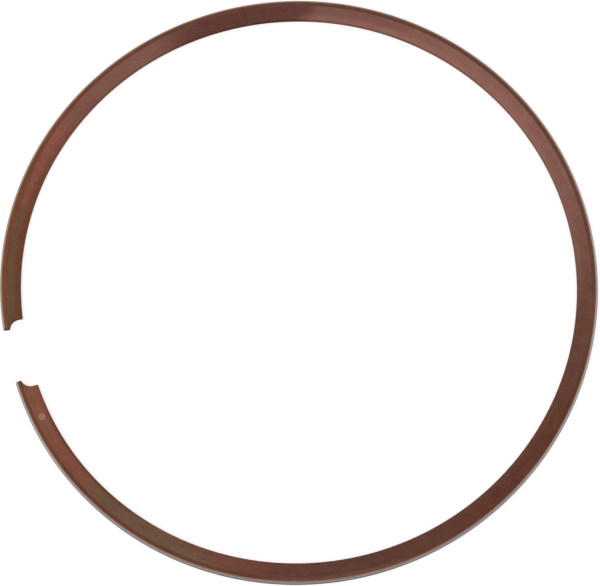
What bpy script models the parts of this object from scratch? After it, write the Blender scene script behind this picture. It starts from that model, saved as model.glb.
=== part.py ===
"""Piston ring: the chrome-faced top ring of a two-stroke engine, as it lies free of its cylinder.

It is one piece of steel. The section is half-keystone: a flat lower flank, and an upper flank that is level
beside the chrome and then slopes down to the inner edge. Each end is cut back round the piston's locating pin.

Metres, +Z up. The ring lies on its lower flank at z = 0 with its gap towards -X. The origin is the middle
of its outline. In a section, inward is the distance from the running face towards the ring's middle.
"""

import math

import bmesh
import bpy
from mathutils import Matrix, Vector

# Driving dimensions
BORE_DIAMETER = 0.0664
RADIAL_WALL = 0.00235
RING_HEIGHT = 0.0010
FREE_GAP = 0.0064
FITTED_GAP = 0.00025

# Section
CHROME_CHAMFER = 0.00025
BARREL_DROP = 0.00002
LAND_WIDTH = 0.00045
KEYSTONE_ANGLE = math.radians(7.0)
INNER_EDGE_BREAK = 0.00006

# Ends
TIP_EDGE_BREAK = 0.00004
TONGUE_WALL = 0.00072
NOTCH_RADIUS = 0.0011

# Fineness of the facets
HALF_STATIONS = 160
STEPS_PER_STATION = 8
BARREL_SEGMENTS = 4
NOTCH_SEGMENTS = 20
GAP_PASSES = 4

NEUTRAL_RADIUS = (BORE_DIAMETER - RADIAL_WALL) / 2
TIP_ANGLE = math.pi - FITTED_GAP / BORE_DIAMETER


def clear_scene():
    for old in list(bpy.data.objects):
        bpy.data.objects.remove(old, do_unlink=True)


def metal(name, colour, roughness):
    """A plain metal finish."""
    finish = bpy.data.materials.new(name)
    finish.use_nodes = True
    shader = finish.node_tree.nodes["Principled BSDF"]
    shader.inputs["Base Color"].default_value = (*colour, 1.0)
    shader.inputs["Metallic"].default_value = 1.0
    shader.inputs["Roughness"].default_value = roughness
    return finish


def heading_at(angle, opening):
    """The way the running face points at this angle from the ring's back.

    A ring that presses evenly all round its cylinder springs open by angle + sin(angle) when it is let go.
    """
    return angle - opening * (angle + math.sin(angle))


def half_line(opening):
    """The middle of the wall from the ring's back to its tip, as (x, y, heading) at each station."""
    station_step = TIP_ANGLE / HALF_STATIONS
    small_step = station_step / STEPS_PER_STATION
    x = NEUTRAL_RADIUS
    y = 0.0
    line = [(x, y, 0.0)]
    for station in range(HALF_STATIONS):
        for step in range(STEPS_PER_STATION):
            heading = heading_at(station * station_step + (step + 0.5) * small_step, opening)
            x -= NEUTRAL_RADIUS * small_step * math.sin(heading)
            y += NEUTRAL_RADIUS * small_step * math.cos(heading)
        line.append((x, y, heading_at((station + 1) * station_step, opening)))
    return line


def running_face(point):
    """The point of the running face that lies outward of a point of the line."""
    x, y, heading = point
    return Vector((x + RADIAL_WALL / 2 * math.cos(heading), y + RADIAL_WALL / 2 * math.sin(heading), 0.0))


def opening_for_gap():
    """The amount of spring that leaves FREE_GAP between the two tips."""
    opening = (FREE_GAP - FITTED_GAP) / (3 * math.pi * NEUTRAL_RADIUS)
    for _ in range(GAP_PASSES):
        gap = 2 * running_face(half_line(opening)[-1]).y
        opening *= (FREE_GAP - FITTED_GAP) / (gap - FITTED_GAP)
    return opening


def ring_line():
    """The whole line from the tip at -Y to the tip at +Y, with the outline's middle at x = 0."""
    half = half_line(opening_for_gap())
    reach = [running_face(point).x for point in half]
    middle = (max(reach) + min(reach)) / 2
    half = [(x - middle, y, heading) for x, y, heading in half]
    mirrored = [(x, -y, -heading) for x, y, heading in half[:0:-1]]
    return mirrored + half


def upper_flank_height(inward):
    """The height of the upper flank above the lower one."""
    slope_start = CHROME_CHAMFER + LAND_WIDTH
    return RING_HEIGHT - max(inward - slope_start, 0.0) * math.tan(KEYSTONE_ANGLE)


def chrome_outline():
    """The chamfered and slightly barrelled running face from the lower flank to the upper, as (inward, z)."""
    low = CHROME_CHAMFER
    high = RING_HEIGHT - CHROME_CHAMFER
    points = [(CHROME_CHAMFER + BARREL_DROP, 0.0)]
    for step in range(BARREL_SEGMENTS + 1):
        across = 2 * step / BARREL_SEGMENTS - 1
        points.append((BARREL_DROP * across ** 2, low + (high - low) * (across + 1) / 2))
    points.append((CHROME_CHAMFER + BARREL_DROP, RING_HEIGHT))
    return points


def section_outline():
    """The whole section as (inward, z): the chrome first, then the upper flank, the inner face and the rest."""
    land_end = CHROME_CHAMFER + LAND_WIDTH
    slope_end = RADIAL_WALL - INNER_EDGE_BREAK
    slope_foot = upper_flank_height(slope_end)
    return chrome_outline() + [
        (land_end, RING_HEIGHT),
        (slope_end, slope_foot),
        (RADIAL_WALL, slope_foot - INNER_EDGE_BREAK),
        (RADIAL_WALL, INNER_EDGE_BREAK),
        (slope_end, 0.0),
    ]


def shrunk(outline, edge_break):
    """The section at a tip, smaller all round by the break of its edges."""
    across = 1 - 2 * edge_break / RADIAL_WALL
    upright = 1 - 2 * edge_break / RING_HEIGHT
    return [(edge_break + inward * across, edge_break + z * upright) for inward, z in outline]


def loop_at(mesh, point, outline, along):
    """One loop of vertices: the section set across the line at this point, moved along it."""
    heading = point[2]
    base = running_face(point) + Vector((-math.sin(heading), math.cos(heading), 0.0)) * along
    inwards = Vector((-math.cos(heading), -math.sin(heading), 0.0))
    return [mesh.verts.new(base + inwards * inward + Vector((0.0, 0.0, z))) for inward, z in outline]


def ring_mesh(line):
    """The section swept from tip to tip, with the chrome faces in the second material."""
    outline = section_outline()
    tip_outline = shrunk(outline, TIP_EDGE_BREAK)
    shaped = bmesh.new()
    loops = [loop_at(shaped, line[0], tip_outline, 0.0)]
    loops.append(loop_at(shaped, line[0], outline, TIP_EDGE_BREAK))
    loops += [loop_at(shaped, point, outline, 0.0) for point in line[1:-1]]
    loops.append(loop_at(shaped, line[-1], outline, -TIP_EDGE_BREAK))
    loops.append(loop_at(shaped, line[-1], tip_outline, 0.0))
    corners = len(outline)
    chrome_strips = len(chrome_outline()) - 1
    for near, far in zip(loops, loops[1:]):
        for side in range(corners):
            after = (side + 1) % corners
            face = shaped.faces.new((near[side], far[side], far[after], near[after]))
            face.material_index = 1 if side < chrome_strips else 0
    shaped.faces.new(loops[0])
    shaped.faces.new(reversed(loops[-1]))
    bmesh.ops.recalc_face_normals(shaped, faces=shaped.faces)
    mesh = bpy.data.meshes.new("piston_ring")
    shaped.to_mesh(mesh)
    shaped.free()
    mesh.shade_smooth()
    mesh.set_sharp_from_angle(angle=math.radians(25))
    return mesh


def notch_cutter_mesh():
    """A round-nosed slot cutter: its nose faces the running face, and its straight sides run out inward."""
    past_the_wall = RADIAL_WALL + NOTCH_RADIUS
    outline = []
    for step in range(NOTCH_SEGMENTS + 1):
        turn = math.pi / 2 + math.pi * step / NOTCH_SEGMENTS
        outline.append((NOTCH_RADIUS * math.cos(turn), NOTCH_RADIUS * math.sin(turn)))
    outline.append((past_the_wall, -NOTCH_RADIUS))
    outline.append((past_the_wall, NOTCH_RADIUS))
    shaped = bmesh.new()
    floor = shaped.faces.new([shaped.verts.new((x, y, -RING_HEIGHT)) for x, y in outline])
    raised = bmesh.ops.extrude_face_region(shaped, geom=[floor])["geom"]
    lifted = [item for item in raised if isinstance(item, bmesh.types.BMVert)]
    bmesh.ops.translate(shaped, verts=lifted, vec=(0.0, 0.0, 3 * RING_HEIGHT))
    bmesh.ops.recalc_face_normals(shaped, faces=shaped.faces)
    mesh = bpy.data.meshes.new("pin_notch_cutter")
    shaped.to_mesh(mesh)
    shaped.free()
    return mesh


def add_notch(ring, mesh, name, tip, gapward_sign):
    """Cuts one end back round the locating pin, whose middle lies midway between the fitted tips."""
    heading = tip[2]
    inwards = Vector((-math.cos(heading), -math.sin(heading), 0.0))
    gapward = Vector((-math.sin(heading), math.cos(heading), 0.0)) * gapward_sign
    cutter = bpy.data.objects.new(name, mesh)
    cutter.location = running_face(tip) + inwards * (TONGUE_WALL + NOTCH_RADIUS) + gapward * (FITTED_GAP / 2)
    cutter.rotation_euler.z = heading + math.pi
    cutter.hide_render = True
    cutter.display_type = "WIRE"
    bpy.context.scene.collection.objects.link(cutter)
    cut = ring.modifiers.new(name, "BOOLEAN")
    cut.operation = "DIFFERENCE"
    cut.solver = "EXACT"
    cut.object = cutter


def main():
    clear_scene()
    line = ring_line()
    mesh = ring_mesh(line)
    mesh.materials.append(metal("oxide_tinted_steel", (0.162, 0.070, 0.048), 0.42))
    mesh.materials.append(metal("hard_chrome", (0.62, 0.62, 0.63), 0.22))
    ring = bpy.data.objects.new("piston_ring", mesh)
    bpy.context.scene.collection.objects.link(ring)
    cutter_mesh = notch_cutter_mesh()
    add_notch(ring, cutter_mesh, "notch_at_minus_y", line[0], -1)
    add_notch(ring, cutter_mesh, "notch_at_plus_y", line[-1], 1)


main()
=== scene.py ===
"""The dressed piston ring: oxide-tinted steel with a hard chrome running face, lying free on a pale table.

The ring is one mesh. Its section is swept along the same free shape as the CAD ring, with every edge rounded,
and each end is cut back round the piston's locating pin. Metres, +Z up, the gap towards -X.

Each vertex keeps its place on the ring in millimetres: how far along the ring from its back, how far inward
from the running face, and how high above the lower flank. The finishes are drawn from that place.
"""

import math

import bmesh
import bpy
import numpy as np
from mathutils import Matrix, Vector


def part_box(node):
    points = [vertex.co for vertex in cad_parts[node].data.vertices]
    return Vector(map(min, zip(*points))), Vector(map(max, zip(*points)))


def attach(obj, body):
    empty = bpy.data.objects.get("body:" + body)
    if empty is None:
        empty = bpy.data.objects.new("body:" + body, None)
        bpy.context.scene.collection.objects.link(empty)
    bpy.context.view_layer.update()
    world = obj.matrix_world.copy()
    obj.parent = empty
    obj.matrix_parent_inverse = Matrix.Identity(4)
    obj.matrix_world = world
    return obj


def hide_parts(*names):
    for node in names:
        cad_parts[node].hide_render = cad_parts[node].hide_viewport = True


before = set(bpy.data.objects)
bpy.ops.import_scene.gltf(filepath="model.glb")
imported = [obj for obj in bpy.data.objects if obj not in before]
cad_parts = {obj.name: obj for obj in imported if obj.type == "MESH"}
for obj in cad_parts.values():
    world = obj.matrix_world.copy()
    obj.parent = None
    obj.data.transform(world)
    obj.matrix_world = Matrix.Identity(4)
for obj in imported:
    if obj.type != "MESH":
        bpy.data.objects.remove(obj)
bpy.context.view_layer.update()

MM = 0.001

# Sizes of the ring, as the CAD ring has them
BORE_DIAMETER = 66.4 * MM
RADIAL_WALL = 2.35 * MM
RING_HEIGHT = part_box("piston_ring")[1].z
FREE_GAP = 6.4 * MM
FITTED_GAP = 0.25 * MM
CHROME_CHAMFER = 0.25 * MM
BARREL_DROP = 0.02 * MM
LAND_WIDTH = 0.45 * MM
KEYSTONE_ANGLE = math.radians(7.0)
TONGUE_WALL = 0.72 * MM
NOTCH_RADIUS = 1.1 * MM

# Softness of the edges
CHROME_CORNER_RADIUS = 0.05 * MM
INNER_EDGE_RADIUS = 0.05 * MM
TONGUE_CORNER_RADIUS = 0.04 * MM
END_EDGE_RADIUS = 0.035 * MM

# The plain dot etched near one end, which shows the side that faces the piston crown
DOT_RADIUS = 0.42 * MM
DOT_DEPTH = 0.012 * MM
DOT_RIM = 0.05 * MM
DOT_FROM_TIP = 4.8 * MM
DOT_INWARD = 1.36 * MM

# Fineness of the mesh
LINE_STEPS = 4000
GAP_PASSES = 4
STATION_SPACING = 0.5 * MM
DOT_STATION_SPACING = 0.05 * MM
END_ZONE = 3.0 * MM
END_ROW_SHARES = (0.7, 0.45, 0.26, 0.14, 0.07, 0.03, 0.01)
EDGE_STEPS = 3
BARREL_LINES = 5
CORNER_STEPS = 3
TONGUE_CORNER_STEPS = 4
NOTCH_LINES = 28
NOTCH_FLANK_LINES = 8
INNER_EDGE_STEPS = 5
LAND_LINES = 6
SHARP_ANGLE = math.radians(40)

NEUTRAL_RADIUS = (BORE_DIAMETER - RADIAL_WALL) / 2
TIP_ANGLE = math.pi - FITTED_GAP / BORE_DIAMETER
HALF_LENGTH = NEUTRAL_RADIUS * TIP_ANGLE
SLOPE_START = CHROME_CHAMFER + LAND_WIDTH
PLACE = "place_on_ring"

# Which material slot of the mesh each kind of surface takes
FLANKS = 0
CHROME = 1
INNER_FACE = 2
END_WALLS = 3

# Camera, placed as for the photograph
CAMERA_DISTANCE = 0.300
CAMERA_AZIMUTH = math.radians(-97.527)
CAMERA_ELEVATION = math.radians(74.527)
CAMERA_ROLL = math.radians(-6.933)
CAMERA_LENS = 158.45
CAMERA_SENSOR = 36.0
CAMERA_CLIP = (0.01, 20.0)
CAMERA_AIM = Vector((-0.15 * MM, -0.97 * MM, 0.0))

# Table and light
TABLE_HALF_WIDTH = 1.5
TABLE_GREY = 0.5
TABLE_ROUGHNESS = 0.9
TABLE_GLOW = 0.73
ROOM_BRIGHTNESS = 0.42
HORIZON_BRIGHTNESS = 1.0
HORIZON_TOP = 0.35
BOX_DISTANCE = 6.0
WHITE = (1.0, 1.0, 1.0, 1.0)

# Soft boxes, each as degrees round from +X, degrees up, half its width in degrees, and brightness
OVERHEAD_BOX = (215, 74, 25, 1.0)
LEFT_BOX = (178, 6, 12, 0.4)

# Tints of the oxide film, some of them also used for painted reflection on it, as they look on a screen, from
# 0 to 255
CHESTNUT = (108, 66, 52)
COCOA = (122, 80, 69)
RUSSET = (130, 79, 60)
COPPER = (154, 96, 79)
OLIVE = (135, 104, 83)
MOSS = (126, 91, 69)
UMBER = (117, 77, 64)
TAN = (138, 95, 82)
ROSE = (144, 101, 90)
BRICK = (138, 88, 75)
PLUM = (103, 65, 57)
STRAW = (150, 110, 78)
STEEL_BLUE = (100, 84, 90)
MARK_BEIGE = (186, 150, 126)
DUSK = (128, 88, 79)
FAWN = (140, 98, 86)
CORAL = (149, 104, 92)
GINGER = (160, 102, 80)
SIENNA = (113, 70, 56)
AUBURN = (119, 73, 54)
HAZEL = (124, 80, 61)
RUST = (88, 48, 33)

# Colours of the chrome and of the end walls, given in the same way. The greys of the chrome are partly
# painted reflection: the running face is painted darker than the chamfers, which are the same chrome, and
# darker still in one stretch along the ring.
CHROME_GREY = (136, 129, 133)
CHROME_DARK_REFLECTION = (114, 108, 112)
COOL_CHAMFER = (170, 161, 156)
WARM_CHAMFER = (174, 158, 145)
# The end walls' dark brown is partly their own colour and partly painted shade, as falls in the notches.
END_WALL_BROWN_AND_SHADE = (96, 64, 60)

# Where the tints lie, in degrees round the ring from its back towards +Y. They are partly the oxide film's
# own tints and partly painted reflection: the land, the slope and the inner edge are each painted lighter or
# darker round the ring as their reflections would be, and the land is painted darker than the slope in
# places.
LAND_TINTS_AND_REFLECTIONS = (
    (-180, AUBURN), (-166, AUBURN), (-155, CHESTNUT), (-116, CHESTNUT), (-106, UMBER), (-94, UMBER),
    (-82, CHESTNUT), (-40, CHESTNUT), (-20, COCOA), (80, COCOA), (140, RUSSET), (180, RUSSET),
)
SLOPE_TINTS_AND_REFLECTIONS = (
    (-180, GINGER), (-166, GINGER), (-158, COPPER), (-145, OLIVE), (-130, OLIVE), (-118, BRICK),
    (-105, COCOA), (-93, UMBER), (-78, UMBER), (-64, SIENNA), (-50, SIENNA), (-26, UMBER), (10, FAWN),
    (24, ROSE), (36, ROSE), (46, FAWN), (60, DUSK), (73.5, DUSK), (76, PLUM), (97, PLUM), (111, FAWN),
    (130, TAN), (140, COPPER), (148, COPPER), (158, MOSS), (180, MOSS),
)
INNER_EDGE_TINTS_AND_REFLECTIONS = (
    (-180, COPPER), (-160, COPPER), (-145, OLIVE), (-118, BRICK), (-105, COCOA), (-93, UMBER), (-26, UMBER),
    (-2, FAWN), (18, CORAL), (50, CORAL), (64, ROSE), (73, FAWN), (78, PLUM), (97, PLUM), (112, TAN),
    (140, BRICK), (150, RUSSET), (168, HAZEL), (180, HAZEL),
)

# Grain of the finishes, in millimetres. Lines are given as their length, their spacing and their slant.
TINT_DRIFT = 6.0
TINT_DRIFT_SIZE = 9.0
CLOUD_SIZE = 1.4
GRAINS_PER_CLOUD = 8.0
TURNED_LINES = (4.0, 0.14, 0.0)
GROUND_LINES = (2.4, 0.13, 0.7)
FLUSH_STREAKS = (3.0, 0.45, 0.0)

# Fine detail in the noise that draws them, and the range that the noise mostly stays in
LINE_DETAIL = 3.0
CLOUD_DETAIL = 4.0
GRAIN_DETAIL = 2.0
NOISE_RANGE = (0.3, 0.7)
NOISE_MIDDLE = 0.5

# Where the finishes change, in millimetres along the ring, inward from the running face, or up.
# A ramp is given as (from, to) or (from, to, first share, last share), and a band as (from, to, softness).
UPPER_SIDE_UP = (0.3, 0.5)
LAND_FADE_START = 0.62
LAND_FADE_END = 0.8
WIDE_FADE_ALONG = (78.0, 95.0, 5.0)
WIDE_FADE_EXTRA = 0.35
INNER_EDGE_INWARD = (1.4, 2.1)
STRAW_LINE_INWARD = (0.28, 0.37, 0.85, 0.0)
NOTCH_PATCH_ALONG = (-100.0, -94.5, 0.5, 0.0)
NOTCH_PATCH_INWARD = (0.75, 1.25, 0.12)
OLIVE_LINE_ALONG = (-84.0, -72.0, 0.5, 0.0)
OLIVE_LINE_INWARD = (0.74, 0.96, 0.08)
DARK_EDGE_ALONG = (-97.0, -80.0, 4.0)
DARK_EDGE_INWARD = (1.9, 2.2, 0.0, 0.85)
BLUE_LINE_ALONG = (4.0, 42.0, 5.0)
BLUE_LINE_INWARD = (0.66, 0.72, 0.03)
CROSS_MARK_ALONG = (49.72, 49.84, 0.12)
CROSS_MARK_LEAN = 0.06
CHAMFER_INWARD = (0.03, 0.12)
CHAMFER_WARMS_ALONG = (-14.0, 12.0)
STRAW_CHAMFER_INWARD = (0.13, 0.31)
STRAW_CHAMFER_ALONG = (-14.0, 12.0, 0.75, 1.0)
# The stretch where the chrome's running face is painted darker still: painted reflection.
CHROME_DARK_REFLECTION_ALONG = (-76.0, -46.0, 8.0)

# How strongly the broken marks show, as ramps over the noise of the flush streaks, and the dot
FLUSH_SHARE = (0.5, 0.72, 0.0, 0.55)
BLUE_LINE_SHARE = (0.4, 0.6, 0.0, 0.6)
CROSS_MARK_SHARE = (0.3, 0.6, 0.2, 0.7)
DOT_SHARE = 0.8

# What a flush leaves of the tint's red, green and blue
FLUSH_FACTOR = (1.06, 0.86, 0.84, 1.0)

# How much clouds, grain and lines lighten or darken each finish
FLANK_UNEVENNESS = (0.30, 0.35, 0.45, 0.30)
CHROME_UNEVENNESS = (0.16, 0.12)
INNER_FACE_UNEVENNESS = (0.35, 0.5)
END_WALL_UNEVENNESS = (0.5, 0.3)
# How much darker the inner face is painted than the film beside it: painted shade.
INNER_FACE_PAINTED_SHADE = 0.78

# Least and greatest roughness of each finish, and what the dot adds
FLANK_ROUGHNESS = (0.36, 0.46)
CHROME_ROUGHNESS = (0.18, 0.3)
INNER_FACE_ROUGHNESS = (0.4, 0.52)
END_WALL_ROUGHNESS = (0.45, 0.6)
DOT_ROUGHER = 0.12

# Fine relief of each finish, as its strength and its depth
FLANK_RELIEF = (0.25, 0.002 * MM)
CHROME_RELIEF = (0.2, 0.001 * MM)
INNER_FACE_RELIEF = (0.3, 0.003 * MM)
END_WALL_RELIEF = (0.3, 0.003 * MM)

# How much light each finish throws back where it is seen at a glancing angle
CHROME_GLANCE = (0.38, 0.34, 0.37, 1.0)
INNER_FACE_GLANCE = (0.58, 0.48, 0.46, 1.0)
END_WALL_GLANCE = (0.58, 0.5, 0.5, 1.0)


class RingLine:
    """The middle of the wall of the free ring.

    A ring that presses evenly all round its cylinder springs open by angle + sin(angle) when it is let go.
    """

    def __init__(self):
        self.angles = np.linspace(0.0, TIP_ANGLE, LINE_STEPS + 1)
        self.opening = (FREE_GAP - FITTED_GAP) / (3 * math.pi * NEUTRAL_RADIUS)
        self.shift = 0.0
        for _ in range(GAP_PASSES):
            self.trace()
            gap = 2 * self.world(HALF_LENGTH, 0.0, 0.0).y
            self.opening *= (FREE_GAP - FITTED_GAP) / (gap - FITTED_GAP)
        self.trace()
        reach = [self.world(along, 0.0, 0.0).x for along in np.linspace(0.0, HALF_LENGTH, LINE_STEPS + 1)]
        self.shift = (max(reach) + min(reach)) / 2

    def heading(self, angle):
        """The way the running face points at this angle from the ring's back."""
        return angle - self.opening * (angle + np.sin(angle))

    def trace(self):
        """Follows the line from the ring's back to its tip, for the present opening."""
        step = TIP_ANGLE / LINE_STEPS
        heading = self.heading(self.angles[:-1] + step / 2)
        self.x = NEUTRAL_RADIUS * (1 - np.append(0.0, np.cumsum(np.sin(heading)) * step))
        self.y = NEUTRAL_RADIUS * np.append(0.0, np.cumsum(np.cos(heading)) * step)

    def world(self, along, inward, height):
        """The point at this place: along the ring from its back, inward from the running face, and up."""
        angle = abs(along) / NEUTRAL_RADIUS
        side = math.copysign(1.0, along)
        heading = self.heading(angle)
        outward = RADIAL_WALL / 2 - inward
        x = np.interp(angle, self.angles, self.x) + outward * math.cos(heading) - self.shift
        y = np.interp(angle, self.angles, self.y) + outward * math.sin(heading)
        return Vector((x, side * y, height))


def upper_height(inward):
    """The height of the upper flank: level beside the chrome, then sloping down to the inner edge."""
    return RING_HEIGHT - max(inward - SLOPE_START, 0.0) * math.tan(KEYSTONE_ANGLE)


def lower_height(inward):
    """The height of the lower flank, which is flat."""
    return 0.0


def rounded_corner(before, corner, after, radius, steps):
    """The points of an arc that rounds a corner of the section, from its first tangent point to its last."""
    before, corner, after = Vector(before), Vector(corner), Vector(after)
    arriving = (corner - before).normalized()
    leaving = (after - corner).normalized()
    turn = arriving.angle_signed(leaving)
    reach = radius * math.tan(abs(turn) / 2)
    start = corner - arriving * reach
    side = math.copysign(1.0, turn)
    across = Vector((arriving.y, -arriving.x)) * side
    points = []
    for step in range(steps + 1):
        angle = abs(turn) * step / steps
        points.append(start + arriving * radius * math.sin(angle) + across * radius * (1 - math.cos(angle)))
    return points


def flat_lines():
    """The lines of a flank where they meet the ring's end, each as (back from the tip, inward, way).

    They run across the tip, round the tongue's corner, along the pin notch and out over the notch's flank.
    Back and inward are measured square to the tip. The way is the one into the steel, as (back, inward).
    """
    pin_back = -FITTED_GAP / 2
    pin_inward = TONGUE_WALL + NOTCH_RADIUS
    corner_reach = NOTCH_RADIUS + TONGUE_CORNER_RADIUS
    corner_inward = pin_inward - math.sqrt(corner_reach ** 2 - (TONGUE_CORNER_RADIUS - pin_back) ** 2)
    first_inward = CHROME_CHAMFER + BARREL_DROP + CHROME_CORNER_RADIUS
    lines = []
    for step in range(LAND_LINES):
        inward = first_inward + (corner_inward - first_inward) * step / LAND_LINES
        lines.append((0.0, inward, (1.0, 0.0)))
    last_turn = math.acos((TONGUE_CORNER_RADIUS - pin_back) / corner_reach)
    for step in range(TONGUE_CORNER_STEPS):
        turn = last_turn * step / TONGUE_CORNER_STEPS
        way = (math.cos(turn), -math.sin(turn))
        back = TONGUE_CORNER_RADIUS * (1 - way[0])
        lines.append((back, corner_inward - TONGUE_CORNER_RADIUS * way[1], way))
    first_turn = math.pi / 2 - last_turn
    for step in range(NOTCH_LINES):
        turn = first_turn + (math.pi / 2 - first_turn) * step / NOTCH_LINES
        way = (math.sin(turn), -math.cos(turn))
        lines.append((pin_back + NOTCH_RADIUS * way[0], pin_inward + NOTCH_RADIUS * way[1], way))
    last_inward = RADIAL_WALL - INNER_EDGE_RADIUS
    for step in range(NOTCH_FLANK_LINES):
        inward = pin_inward + (last_inward - pin_inward) * step / NOTCH_FLANK_LINES
        lines.append((pin_back + NOTCH_RADIUS, inward, (1.0, 0.0)))
    return lines


def half_section(height_at):
    """Half of the section, upper or lower, from the middle of the running face to that of the inner face.

    Each point is (back, inward, height, way): where its line ends at the tip, as flat_lines gives it.
    """
    middle = RING_HEIGHT / 2
    face = height_at(0.0)
    side = math.copysign(1.0, face - middle)
    chamfer_start = face - side * CHROME_CHAMFER
    square = (1.0, 0.0)
    notch_back = NOTCH_RADIUS - FITTED_GAP / 2
    points = []
    for step in range(BARREL_LINES):
        across = step / BARREL_LINES
        straight = chamfer_start - side * CHROME_CORNER_RADIUS / 2 - middle
        points.append((0.0, BARREL_DROP * across ** 2, middle + straight * across, square))
    corners = [
        (BARREL_DROP, middle),
        (BARREL_DROP, chamfer_start),
        (BARREL_DROP + CHROME_CHAMFER, face),
        (SLOPE_START, face),
    ]
    for corner in (0, 1):
        for inward, z in rounded_corner(*corners[corner:corner + 3], CHROME_CORNER_RADIUS, CORNER_STEPS):
            points.append((0.0, inward, z, square))
    for back, inward, way in flat_lines():
        points.append((back, inward, height_at(inward), way))
    inner_corner = (RADIAL_WALL, height_at(RADIAL_WALL))
    before = (SLOPE_START, height_at(SLOPE_START))
    after = (RADIAL_WALL, middle)
    for inward, z in rounded_corner(before, inner_corner, after, INNER_EDGE_RADIUS, INNER_EDGE_STEPS):
        points.append((notch_back, inward, z, square))
    points.append((notch_back, RADIAL_WALL, middle, square))
    return points


def section_loop():
    """The whole section: the upper half, then the lower half back to the running face."""
    upper = half_section(upper_height)
    lower = half_section(lower_height)
    return upper + lower[-2:0:-1]


def outward_leans(loop):
    """How the skin of the section leans at each of its points, as a unit vector (inward, up)."""
    leans = []
    for index in range(len(loop)):
        ahead = loop[(index + 1) % len(loop)]
        behind = loop[index - 1]
        leans.append(Vector((behind[2] - ahead[2], ahead[1] - behind[1])).normalized())
    return leans


def curved_place(back, inward):
    """A place measured square to the tip, as (back, inward) measured round the curve of the ring."""
    outer_radius = BORE_DIAMETER / 2
    reach = math.hypot(back, outer_radius - inward)
    return math.atan2(back, outer_radius - inward) * NEUTRAL_RADIUS, outer_radius - reach


def end_rows(loop, side):
    """The rows of places from the end zone out to the end's own wall, at the tip on this side."""
    leans = outward_leans(loop)
    rows = []
    for share in END_ROW_SHARES:
        row = []
        for back, inward, height, way in loop:
            edge_back, edge_inward = curved_place(
                back + way[0] * END_EDGE_RADIUS, inward + way[1] * END_EDGE_RADIUS
            )
            placed_back = edge_back + (END_ZONE - edge_back) * share
            placed_inward = edge_inward + (inward - edge_inward) * share
            row.append([placed_back, placed_inward, height])
        rows.append(row)
    for step in range(EDGE_STEPS + 1):
        turn = math.pi / 2 * step / EDGE_STEPS
        row = []
        for (back, inward, height, way), lean in zip(loop, leans):
            into = END_EDGE_RADIUS * (1 - math.sin(turn))
            under = END_EDGE_RADIUS * (1 - math.cos(turn))
            edge_back, edge_inward = curved_place(
                back + way[0] * into, inward + way[1] * into - lean.x * under
            )
            row.append([edge_back, edge_inward, height - lean.y * under])
        rows.append(row)
    return [[(side * (HALF_LENGTH - back), inward, z) for back, inward, z in row] for row in rows]


def dot_dip(along, inward):
    """How deep the etched dot is at this place."""
    distance = math.hypot(along + HALF_LENGTH - DOT_FROM_TIP, inward - DOT_INWARD)
    share = min(max((DOT_RADIUS - distance) / DOT_RIM + 0.5, 0.0), 1.0)
    return DOT_DEPTH * share * share * (3 - 2 * share)


def stations():
    """How far along the ring each plain row stands, closer together beside the etched dot."""
    found = []
    along = -HALF_LENGTH + END_ZONE
    last = HALF_LENGTH - END_ZONE
    dot_along = DOT_FROM_TIP - HALF_LENGTH
    while along < last - STATION_SPACING / 2:
        found.append(along)
        near_dot = abs(along - dot_along) < DOT_RADIUS + 2 * DOT_STATION_SPACING
        along += DOT_STATION_SPACING if near_dot else STATION_SPACING
    return found + [last]


def ring_rows():
    """Every row of places, from the wall of the end at -Y to the wall of the end at +Y."""
    loop = section_loop()
    upper_count = len(loop) // 2
    rows = end_rows(loop, -1)[::-1]
    for along in stations():
        row = []
        for index, (_, inward, height, _) in enumerate(loop):
            dip = dot_dip(along, inward) if index < upper_count else 0.0
            row.append((along, inward, height - dip))
        rows.append(row)
    return rows + end_rows(loop, 1)


def end_wall(shaped, row):
    """Closes one end with strips that join the upper half of its row to the lower."""
    count = len(row)
    half = count // 2
    for index in range(half):
        corners = [row[index], row[index + 1], row[(count - index - 1) % count], row[(count - index) % count]]
        corners = [vertex for at, vertex in enumerate(corners) if vertex not in corners[:at]]
        shaped.faces.new(corners).material_index = END_WALLS


def finish_of_line(index, loop):
    """Which material the strip after this line of the section takes."""
    upper_count = len(loop) // 2
    step = index if index < upper_count else len(loop) - 1 - index
    chrome_lines = BARREL_LINES + 2 * (CORNER_STEPS + 1) - 1
    inner_face = upper_count - 2
    if step < chrome_lines:
        return CHROME
    if step >= inner_face:
        return INNER_FACE
    return FLANKS


def make_ring(line):
    """The whole ring as one mesh, with its place on the ring kept at every vertex."""
    shaped = bmesh.new()
    place_layer = shaped.verts.layers.float_vector.new(PLACE)
    rows = []
    for places in ring_rows():
        row = []
        for along, inward, height in places:
            vertex = shaped.verts.new(line.world(along, inward, height))
            vertex[place_layer] = Vector((along, inward, height)) / MM
            row.append(vertex)
        rows.append(row)
    loop = section_loop()
    finishes = [finish_of_line(index, loop) for index in range(len(loop))]
    for near, far in zip(rows, rows[1:]):
        for index in range(len(loop)):
            after = (index + 1) % len(loop)
            face = shaped.faces.new((near[index], far[index], far[after], near[after]))
            face.material_index = finishes[index]
    end_wall(shaped, rows[0])
    end_wall(shaped, rows[-1])
    bmesh.ops.recalc_face_normals(shaped, faces=shaped.faces)
    mesh = bpy.data.meshes.new("dressed_ring")
    shaped.to_mesh(mesh)
    shaped.free()
    mesh.shade_smooth()
    mesh.set_sharp_from_angle(angle=SHARP_ANGLE)
    ring = bpy.data.objects.new("dressed_ring", mesh)
    bpy.context.scene.collection.objects.link(ring)
    return ring


def linear(red, green, blue):
    """A colour given as it looks on a screen, 0 to 255, as the linear values that a shader takes."""
    parts = []
    for part in (red, green, blue):
        share = part / 255
        parts.append(share / 12.92 if share <= 0.04045 else ((share + 0.055) / 1.055) ** 2.4)
    return (*parts, 1.0)


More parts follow.
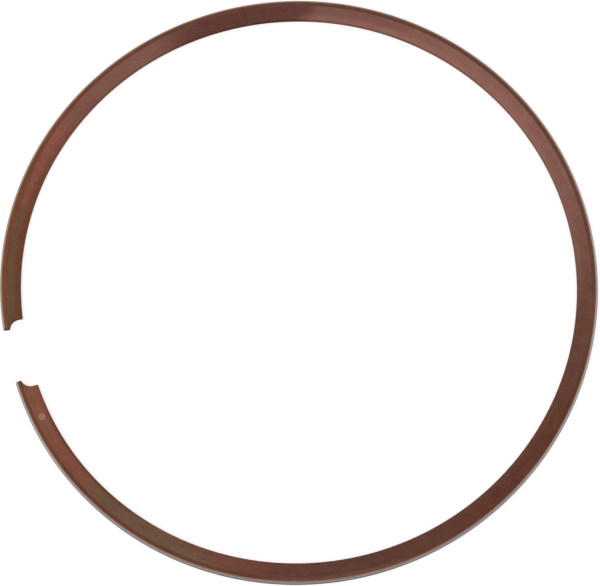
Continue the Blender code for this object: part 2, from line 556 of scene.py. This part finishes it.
class Wiring:
    """Short ways to add and join the nodes of one tree."""

    def __init__(self, tree):
        self.tree = tree

    def add(self, kind, **settings):
        """A new node of this kind, with these settings."""
        made = self.tree.nodes.new(kind)
        for name, value in settings.items():
            setattr(made, name, value)
        return made

    def feed(self, socket, value):
        """Joins another socket to this one, or sets its value."""
        if isinstance(value, bpy.types.NodeSocket):
            self.tree.links.new(value, socket)
        else:
            socket.default_value = value

    def noise(self, vector, scale, detail):
        """Cloudy noise between 0 and 1 over this vector."""
        made = self.add("ShaderNodeTexNoise")
        made.inputs["Detail"].default_value = detail
        self.feed(made.inputs["Vector"], vector)
        self.feed(made.inputs["Scale"], scale)
        return made.outputs["Fac"]

    def parts(self, vector):
        """The three parts of a vector."""
        split = self.add("ShaderNodeSeparateXYZ")
        self.feed(split.inputs[0], vector)
        return split.outputs[0], split.outputs[1], split.outputs[2]

    def math(self, operation, *values):
        """The result of one operation on these values."""
        made = self.add("ShaderNodeMath", operation=operation)
        for socket, value in zip(made.inputs, values):
            self.feed(socket, value)
        return made.outputs[0]

    def both(self, first, second):
        """What two masks leave together."""
        return self.math("MULTIPLY", first, second)

    def ramp(self, value, low, high, start=0.0, end=1.0):
        """Goes smoothly from start to end while the value goes from low to high."""
        made = self.add("ShaderNodeMapRange", interpolation_type="SMOOTHSTEP")
        for name, given in (
            ("Value", value), ("From Min", low), ("From Max", high), ("To Min", start), ("To Max", end)
        ):
            self.feed(made.inputs[name], given)
        return made.outputs["Result"]

    def band(self, value, low, high, softness):
        """One between low and high, and nothing outside them."""
        rise = self.ramp(value, low - softness, low + softness)
        fall = self.ramp(value, high - softness, high + softness, 1.0, 0.0)
        return self.both(rise, fall)

    def shade(self, colour, amount):
        """The colour made lighter or darker by this amount."""
        made = self.add("ShaderNodeVectorMath", operation="SCALE")
        self.feed(made.inputs[0], colour)
        self.feed(made.inputs["Scale"], amount)
        return made.outputs[0]

    def tints(self, turn, places):
        """The tint at this share of the way round, from places of (degrees round from the back, tint)."""
        made = self.add("ShaderNodeValToRGB")
        scale = made.color_ramp
        scale.interpolation = "EASE"
        while len(scale.elements) < len(places):
            scale.elements.new(1.0)
        for element, (degrees, tint) in zip(scale.elements, places):
            element.position = degrees / 360 + 0.5
            element.color = linear(*tint)
        self.feed(made.inputs[0], turn)
        return made.outputs[0]

    def blend(self, share, first, second, kind="MIX"):
        """The first colour, with this share of the second over it.

        A colour mix takes its two colours at inputs 6 and 7 and gives its result at output 2.
        """
        made = self.add("ShaderNodeMix", data_type="RGBA", blend_type=kind)
        self.feed(made.inputs[0], share)
        self.feed(made.inputs[6], first)
        self.feed(made.inputs[7], second)
        return made.outputs[2]

    def group(self, tree, **values):
        """One use of a node group, with these values fed to its inputs."""
        made = self.add("ShaderNodeGroup", node_tree=tree)
        for name, value in values.items():
            self.feed(made.inputs[name], value)
        return made

    def place(self):
        """The place on the ring in millimetres, as the vector (along, inward, height)."""
        return self.add("ShaderNodeAttribute", attribute_name=PLACE).outputs["Vector"]


def new_group(name, inputs, outputs):
    """An empty node group with these sockets, and its wiring, input node and output node."""
    tree = bpy.data.node_groups.new(name, "ShaderNodeTree")
    for socket_name, kind in inputs:
        tree.interface.new_socket(socket_name, in_out="INPUT", socket_type=kind)
    for socket_name, kind in outputs:
        tree.interface.new_socket(socket_name, in_out="OUTPUT", socket_type=kind)
    wiring = Wiring(tree)
    return tree, wiring, wiring.add("NodeGroupInput"), wiring.add("NodeGroupOutput")


def lapping_lines():
    """Fine lines left by turning, lapping or grinding. They run along the ring, or across it at a slant."""
    tree, wiring, given, put = new_group(
        "lapping_lines",
        [
            ("Place", "NodeSocketVector"), ("Length", "NodeSocketFloat"), ("Spacing", "NodeSocketFloat"),
            ("Slant", "NodeSocketFloat"),
        ],
        [("Lines", "NodeSocketFloat")],
    )
    along, inward, height = wiring.parts(given.outputs["Place"])
    slanted = wiring.math("MULTIPLY_ADD", along, given.outputs["Slant"], inward)
    scaled = wiring.add("ShaderNodeCombineXYZ")
    wiring.feed(scaled.inputs[0], wiring.math("DIVIDE", along, given.outputs["Length"]))
    wiring.feed(scaled.inputs[1], wiring.math("DIVIDE", slanted, given.outputs["Spacing"]))
    wiring.feed(scaled.inputs[2], wiring.math("DIVIDE", height, given.outputs["Spacing"]))
    wiring.feed(put.inputs["Lines"], wiring.noise(scaled.outputs[0], 1.0, LINE_DETAIL))
    return tree


def mottle():
    """Soft cloudy patches, as an oxide film has them, with a finer grain over them."""
    tree, wiring, given, put = new_group(
        "mottle",
        [("Place", "NodeSocketVector"), ("Size", "NodeSocketFloat")],
        [("Clouds", "NodeSocketFloat"), ("Grain", "NodeSocketFloat")],
    )
    place = given.outputs["Place"]
    size = given.outputs["Size"]
    clouds = wiring.noise(place, wiring.math("DIVIDE", 1.0, size), CLOUD_DETAIL)
    grain = wiring.noise(place, wiring.math("DIVIDE", GRAINS_PER_CLOUD, size), GRAIN_DETAIL)
    wiring.feed(put.inputs["Clouds"], clouds)
    wiring.feed(put.inputs["Grain"], grain)
    return tree


def oxide_tint_and_painted_reflection(clouds):
    """How the flanks' tint changes round the ring: on the land, on the slope and at the inner edge. It is
    partly the oxide film's own tint and partly painted reflection, lighter or darker round the ring.
    """
    tree, wiring, given, put = new_group(
        "oxide_tint_and_painted_reflection",
        [("Place", "NodeSocketVector")],
        [("Land", "NodeSocketColor"), ("Slope", "NodeSocketColor"), ("Inner Edge", "NodeSocketColor")],
    )
    along = wiring.parts(given.outputs["Place"])[0]
    cloud = wiring.group(clouds, Place=given.outputs["Place"], Size=TINT_DRIFT_SIZE)
    drift = wiring.math("SUBTRACT", cloud.outputs["Clouds"], NOISE_MIDDLE)
    drifted = wiring.math("MULTIPLY_ADD", drift, TINT_DRIFT, along)
    turn = wiring.math("MULTIPLY_ADD", drifted, MM / (2 * math.pi * NEUTRAL_RADIUS), 0.5)
    for part, places in (("Land", LAND_TINTS_AND_REFLECTIONS), ("Slope", SLOPE_TINTS_AND_REFLECTIONS), ("Inner Edge", INNER_EDGE_TINTS_AND_REFLECTIONS)):
        wiring.feed(put.inputs[part], wiring.tints(turn, places))
    return tree


def new_metal(name):
    """A metal's material, its wiring and its shader."""
    finish = bpy.data.materials.new(name)
    finish.use_nodes = True
    shader = finish.node_tree.nodes["Principled BSDF"]
    shader.inputs["Metallic"].default_value = 1.0
    return finish, Wiring(finish.node_tree), shader


def add_relief(wiring, shader, height, strength, depth):
    """Raises and lowers the look of the surface by this height map."""
    raised = wiring.add("ShaderNodeBump")
    raised.inputs["Strength"].default_value = strength
    raised.inputs["Distance"].default_value = depth
    wiring.feed(raised.inputs["Height"], height)
    wiring.feed(shader.inputs["Normal"], raised.outputs[0])


def unevenness(wiring, masks, strengths):
    """One, a little more or less where each mask is above or below its middle, by that mask's strength."""
    total = 1.0
    for mask, strength in zip(masks, strengths):
        above = wiring.math("SUBTRACT", mask, NOISE_MIDDLE)
        total = wiring.math("ADD", total, wiring.math("MULTIPLY", above, strength))
    return total


def drawn_lines(wiring, lines, place, kind):
    """Lines of this kind, which is (length, spacing, slant)."""
    length, spacing, slant = kind
    return wiring.group(lines, Place=place, Length=length, Spacing=spacing, Slant=slant).outputs["Lines"]


def slope_colour(wiring, film, flush, along, inward):
    """The slope's tint: flushed with red in streaks, olive beside the land, and darker at the inner edge."""
    slope = wiring.blend(
        wiring.ramp(inward, *INNER_EDGE_INWARD), film.outputs["Slope"], film.outputs["Inner Edge"]
    )
    slope = wiring.blend(wiring.ramp(flush, *FLUSH_SHARE), slope, FLUSH_FACTOR, "MULTIPLY")
    notch_patch = wiring.both(
        wiring.ramp(along, *NOTCH_PATCH_ALONG), wiring.band(inward, *NOTCH_PATCH_INWARD)
    )
    slope = wiring.blend(notch_patch, slope, linear(*OLIVE))
    olive_line = wiring.both(wiring.ramp(along, *OLIVE_LINE_ALONG), wiring.band(inward, *OLIVE_LINE_INWARD))
    slope = wiring.blend(olive_line, slope, linear(*OLIVE))
    dark_edge = wiring.both(wiring.band(along, *DARK_EDGE_ALONG), wiring.ramp(inward, *DARK_EDGE_INWARD))
    return wiring.blend(dark_edge, slope, linear(*HAZEL))


def dot_mask(wiring, along, inward, upper_side):
    """Where the etched dot lies, and how strongly it shows."""
    ahead = wiring.math("SUBTRACT", along, (DOT_FROM_TIP - HALF_LENGTH) / MM)
    across = wiring.math("SUBTRACT", inward, DOT_INWARD / MM)
    squares = wiring.math("ADD", wiring.math("POWER", ahead, 2.0), wiring.math("POWER", across, 2.0))
    distance = wiring.math("SQRT", squares)
    disc = wiring.ramp(distance, (DOT_RADIUS - DOT_RIM) / MM, DOT_RADIUS / MM, DOT_SHARE, 0.0)
    return wiring.both(disc, upper_side)


def flank_finish(lines, clouds, tints):
    """The oxide-tinted flanks: a dark level land beside the chrome, and a warmer slope. Partly painted
    reflection: the land is painted darker than the slope, and both change round the ring.
    """
    finish, wiring, shader = new_metal("oxide_tinted_flank_with_painted_reflection")
    place = wiring.place()
    along, inward, height = wiring.parts(place)
    film = wiring.group(tints, Place=place)
    cloud = wiring.group(clouds, Place=place, Size=CLOUD_SIZE)
    turned = drawn_lines(wiring, lines, place, TURNED_LINES)
    ground = drawn_lines(wiring, lines, place, GROUND_LINES)
    flush = drawn_lines(wiring, lines, place, FLUSH_STREAKS)
    upper_side = wiring.ramp(height, *UPPER_SIDE_UP)

    fade_end = wiring.math(
        "MULTIPLY_ADD", wiring.band(along, *WIDE_FADE_ALONG), WIDE_FADE_EXTRA, LAND_FADE_END
    )
    slope_share = wiring.both(wiring.ramp(inward, LAND_FADE_START, fade_end), upper_side)
    slope = slope_colour(wiring, film, flush, along, inward)
    # The land's tint against the slope's is partly the oxide film and partly painted reflection.
    base = wiring.blend(slope_share, film.outputs["Land"], slope)

    base = wiring.blend(wiring.ramp(inward, *STRAW_LINE_INWARD), base, linear(*STRAW))
    blue_line = wiring.both(wiring.band(inward, *BLUE_LINE_INWARD), wiring.ramp(flush, *BLUE_LINE_SHARE))
    blue_line = wiring.both(blue_line, wiring.band(along, *BLUE_LINE_ALONG))
    base = wiring.blend(blue_line, base, linear(*STEEL_BLUE))
    leaning = wiring.math("MULTIPLY_ADD", inward, CROSS_MARK_LEAN, along)
    cross_mark = wiring.both(wiring.band(leaning, *CROSS_MARK_ALONG), wiring.ramp(flush, *CROSS_MARK_SHARE))
    base = wiring.blend(cross_mark, base, linear(*RUST))

    masks = (cloud.outputs["Clouds"], cloud.outputs["Grain"], turned, ground)
    base = wiring.shade(base, unevenness(wiring, masks, FLANK_UNEVENNESS))
    dot = dot_mask(wiring, along, inward, upper_side)
    wiring.feed(shader.inputs["Base Color"], wiring.blend(dot, base, linear(*MARK_BEIGE)))
    rough = wiring.ramp(turned, *NOISE_RANGE, *FLANK_ROUGHNESS)
    wiring.feed(shader.inputs["Roughness"], wiring.math("MULTIPLY_ADD", dot, DOT_ROUGHER, rough))
    add_relief(wiring, shader, wiring.math("ADD", turned, ground), *FLANK_RELIEF)
    return finish


def chrome_finish(lines, clouds):
    """Bare hard chrome: grey on the running face, and straw-coloured on the chamfers towards the flanks. The
    running face is painted darker than the chamfers, and darker still in one stretch: painted reflection.
    """
    finish, wiring, shader = new_metal("hard_chrome")
    place = wiring.place()
    along, inward, _ = wiring.parts(place)
    cloud = wiring.group(clouds, Place=place, Size=CLOUD_SIZE)
    lapped = drawn_lines(wiring, lines, place, TURNED_LINES)
    # Painted reflection: the running face's grey, darker in one stretch along the ring.
    running = wiring.blend(
        wiring.band(along, *CHROME_DARK_REFLECTION_ALONG), linear(*CHROME_GREY), linear(*CHROME_DARK_REFLECTION)
    )
    chamfer = wiring.blend(
        wiring.ramp(along, *CHAMFER_WARMS_ALONG), linear(*COOL_CHAMFER), linear(*WARM_CHAMFER)
    )
    base = wiring.blend(wiring.ramp(inward, *CHAMFER_INWARD), running, chamfer)
    straw = wiring.both(wiring.ramp(inward, *STRAW_CHAMFER_INWARD), wiring.ramp(along, *STRAW_CHAMFER_ALONG))
    base = wiring.blend(straw, base, linear(*STRAW))
    light = unevenness(wiring, (cloud.outputs["Clouds"], lapped), CHROME_UNEVENNESS)
    wiring.feed(shader.inputs["Base Color"], wiring.shade(base, light))
    wiring.feed(shader.inputs["Roughness"], wiring.ramp(lapped, *NOISE_RANGE, *CHROME_ROUGHNESS))
    shader.inputs["Specular Tint"].default_value = CHROME_GLANCE
    add_relief(wiring, shader, lapped, *CHROME_RELIEF)
    return finish


def inner_face_finish(lines, clouds, tints):
    """The turned inner face, under the same film as the slope beside it, and made darker than it by painted
    shade.
    """
    finish, wiring, shader = new_metal("oxide_tinted_inner_face_with_painted_shade")
    place = wiring.place()
    film = wiring.group(tints, Place=place)
    cloud = wiring.group(clouds, Place=place, Size=CLOUD_SIZE)
    turned = drawn_lines(wiring, lines, place, TURNED_LINES)
    light = unevenness(wiring, (cloud.outputs["Clouds"], turned), INNER_FACE_UNEVENNESS)
    # Painted shade: the inner face is made darker than the film beside it.
    light = wiring.math("MULTIPLY", light, INNER_FACE_PAINTED_SHADE)
    wiring.feed(shader.inputs["Base Color"], wiring.shade(film.outputs["Inner Edge"], light))
    wiring.feed(shader.inputs["Roughness"], wiring.ramp(turned, *NOISE_RANGE, *INNER_FACE_ROUGHNESS))
    shader.inputs["Specular Tint"].default_value = INNER_FACE_GLANCE
    add_relief(wiring, shader, turned, *INNER_FACE_RELIEF)
    return finish


def end_wall_finish(clouds):
    """The ground faces of the two ends and their notches, dull, and dark brown partly by their own colour and
    partly by painted shade.
    """
    finish, wiring, shader = new_metal("ground_end_walls")
    cloud = wiring.group(clouds, Place=wiring.place(), Size=CLOUD_SIZE)
    grain = cloud.outputs["Grain"]
    light = unevenness(wiring, (cloud.outputs["Clouds"], grain), END_WALL_UNEVENNESS)
    wiring.feed(shader.inputs["Base Color"], wiring.shade(linear(*END_WALL_BROWN_AND_SHADE)[:3], light))
    wiring.feed(shader.inputs["Roughness"], wiring.ramp(grain, *NOISE_RANGE, *END_WALL_ROUGHNESS))
    shader.inputs["Specular Tint"].default_value = END_WALL_GLANCE
    add_relief(wiring, shader, grain, *END_WALL_RELIEF)
    return finish


def direction(azimuth, elevation):
    """The unit vector this far round from +X and this far up."""
    level = math.cos(elevation)
    return Vector((level * math.cos(azimuth), level * math.sin(azimuth), math.sin(elevation)))


def add_floor():
    """The pale table top, which glows a little so that it looks white."""
    half = TABLE_HALF_WIDTH
    corners = [(-half, -half, 0.0), (half, -half, 0.0), (half, half, 0.0), (-half, half, 0.0)]
    mesh = bpy.data.meshes.new("table_top")
    mesh.from_pydata(corners, [], [(0, 1, 2, 3)])
    floor = bpy.data.objects.new("table_top", mesh)
    bpy.context.scene.collection.objects.link(floor)
    finish = bpy.data.materials.new("pale_table")
    finish.use_nodes = True
    shader = finish.node_tree.nodes["Principled BSDF"]
    shader.inputs["Base Color"].default_value = (TABLE_GREY, TABLE_GREY, TABLE_GREY, 1.0)
    shader.inputs["Roughness"].default_value = TABLE_ROUGHNESS
    shader.inputs["Emission Color"].default_value = WHITE
    shader.inputs["Emission Strength"].default_value = TABLE_GLOW
    mesh.materials.append(finish)


def soft_box(name, azimuth, elevation, half_width, brightness):
    """A square studio light far off that looks this wide and this bright from the ring.

    Azimuth is in degrees round from +X, elevation in degrees up, half_width in degrees.
    """
    data = bpy.data.lights.new(name, "AREA")
    side = 2 * BOX_DISTANCE * math.tan(math.radians(half_width))
    data.shape = "SQUARE"
    data.size = side
    data.energy = brightness * math.pi * side ** 2
    light = bpy.data.objects.new(name, data)
    back = direction(math.radians(azimuth), math.radians(elevation))
    light.location = back * BOX_DISTANCE
    light.rotation_mode = "QUATERNION"
    light.rotation_quaternion = back.to_track_quat("Z", "Y")
    bpy.context.scene.collection.objects.link(light)


def add_lights():
    """A pale room that is brighter towards its horizon, and two soft boxes."""
    world = bpy.data.worlds.new("pale_room")
    bpy.context.scene.world = world
    world.use_nodes = True
    background = world.node_tree.nodes["Background"]
    background.inputs["Color"].default_value = WHITE
    wiring = Wiring(world.node_tree)
    up = wiring.parts(wiring.add("ShaderNodeTexCoord").outputs["Generated"])[2]
    brightness = wiring.ramp(up, 0.0, HORIZON_TOP, HORIZON_BRIGHTNESS, ROOM_BRIGHTNESS)
    wiring.feed(background.inputs["Strength"], brightness)
    soft_box("overhead_box", *OVERHEAD_BOX)
    soft_box("left_box", *LEFT_BOX)


def add_camera():
    """The camera, level first and then rolled as the photograph is."""
    back = direction(CAMERA_AZIMUTH, CAMERA_ELEVATION)
    level_right = direction(CAMERA_AZIMUTH + math.pi / 2, 0.0)
    level_up = back.cross(level_right)
    right = level_right * math.cos(CAMERA_ROLL) + level_up * math.sin(CAMERA_ROLL)
    up = back.cross(right)
    data = bpy.data.cameras.new("photo_camera")
    data.sensor_width = CAMERA_SENSOR
    data.lens = CAMERA_LENS
    data.clip_start, data.clip_end = CAMERA_CLIP
    camera = bpy.data.objects.new("photo_camera", data)
    turned = Matrix((right, up, back)).transposed().to_4x4()
    camera.matrix_world = Matrix.Translation(CAMERA_AIM + back * CAMERA_DISTANCE) @ turned
    bpy.context.scene.collection.objects.link(camera)
    bpy.context.scene.camera = camera


def main():
    ring = make_ring(RingLine())
    lines = lapping_lines()
    clouds = mottle()
    tints = oxide_tint_and_painted_reflection(clouds)
    ring.data.materials.append(flank_finish(lines, clouds, tints))
    ring.data.materials.append(chrome_finish(lines, clouds))
    ring.data.materials.append(inner_face_finish(lines, clouds, tints))
    ring.data.materials.append(end_wall_finish(clouds))
    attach(ring, "root")
    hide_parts("piston_ring")
    add_floor()
    add_lights()
    add_camera()
    bpy.context.scene.view_settings.view_transform = "Standard"


main()
